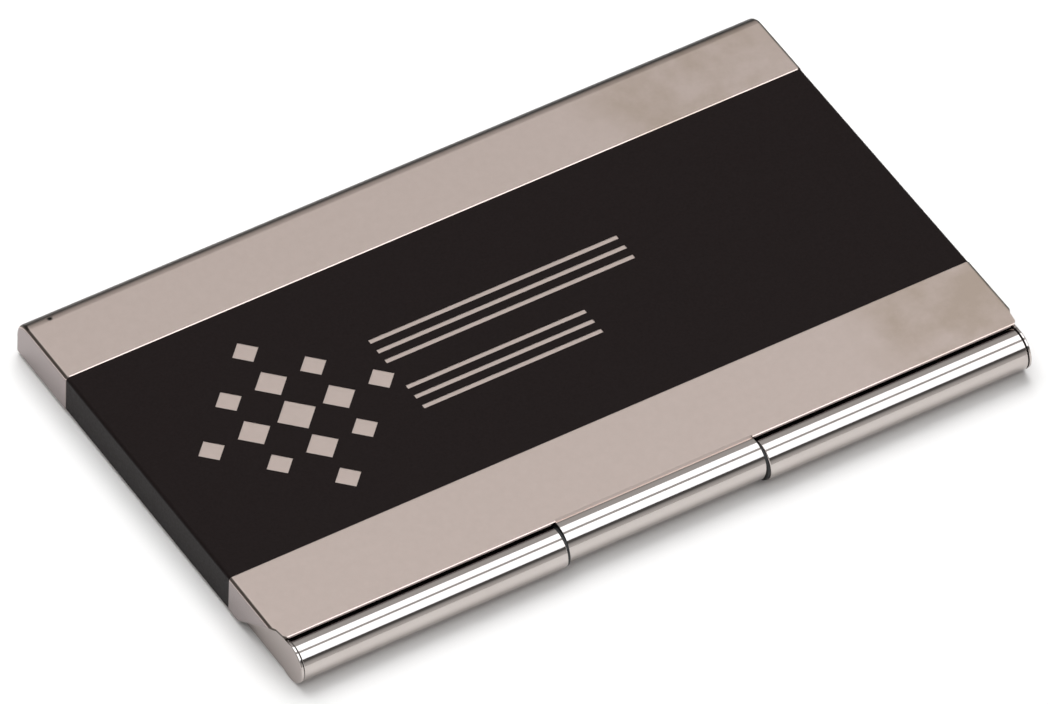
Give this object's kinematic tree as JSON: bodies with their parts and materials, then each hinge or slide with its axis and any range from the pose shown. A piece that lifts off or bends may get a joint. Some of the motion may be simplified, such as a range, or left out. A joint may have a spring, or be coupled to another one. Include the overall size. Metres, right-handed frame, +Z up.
{
  "type": "business card case",
  "caption": "Slim rectangular metal card case with a hinged lid, a rolled barrel hinge along one long edge and a black band wrapped across the lid.",
  "frame": {"origin": "centre of the closed case's footprint, on the surface it lies on", "axes": "+X along the hinge, +Y from the hinge to the back edge, +Z up through the lid"},
  "size_m": [0.095, 0.0592, 0.0054],
  "materials": {
    "lid_metal": "warm fine satin",
    "black_coat": "matte, fine grain",
    "base_metal": "polished",
    "pin_steel": "drawn tube",
    "bush_plastic": "matte",
    "spring_steel": "rolled strip",
    "rivet_steel": "satin"
  },
  "bodies": {
    "base": {"base_tray": "base_metal", "hinge_pin": "pin_steel", "end_bush_left": "bush_plastic", "end_bush_right": "bush_plastic", "spring_plate": "spring_steel", "spring_rivets": "rivet_steel"},
    "lid": {"lid_shell": "lid_metal", "lid_band": "black_coat", "middle_bush": "bush_plastic"}
  },
  "joints": [
    {"name": "lid_hinge", "type": "hinge", "parent": "base", "child": "lid", "pos_m": [0, -0.02705, 0.0025], "axis": [1, 0, 0], "range_deg": [0, 135]}
  ]
}
